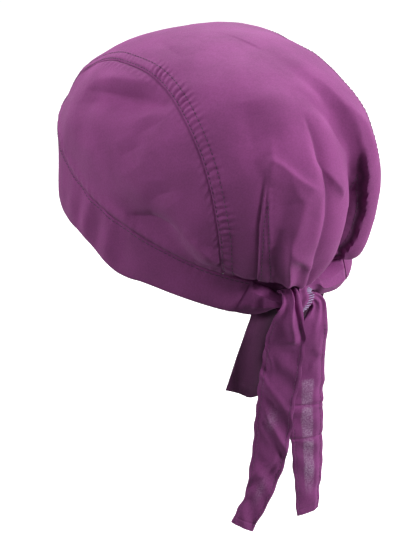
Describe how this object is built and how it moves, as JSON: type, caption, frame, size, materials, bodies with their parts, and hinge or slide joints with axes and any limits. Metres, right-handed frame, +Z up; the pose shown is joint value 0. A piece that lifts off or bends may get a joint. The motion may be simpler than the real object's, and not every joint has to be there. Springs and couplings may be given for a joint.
{
  "type": "bandana cap",
  "caption": "Three-panel cloth bandana cap with a headband, a tail at the nape and two ties knotted at the back, shown as it is worn.",
  "frame": {"origin": "middle of the head opening, halfway up the headband", "axes": "+Z up, front of the cap at -Y, the wearer's left at +X"},
  "size_m": [0.1604, 0.2282, 0.2751],
  "materials": {
    "crown_cloth": "plum cotton poplin with a soft sheen, felled seams and stitched darts",
    "band_cloth": "the same plum cotton, folded double",
    "tie_cloth": "single layer of the same plum cotton with overlocked edges"
  },
  "bodies": {
    "root": {"centre_panel": "crown_cloth", "side_panel_left": "crown_cloth", "side_panel_right": "crown_cloth", "headband": "band_cloth", "tie_left": "tie_cloth", "tie_right": "tie_cloth"}
  },
  "joints": []
}
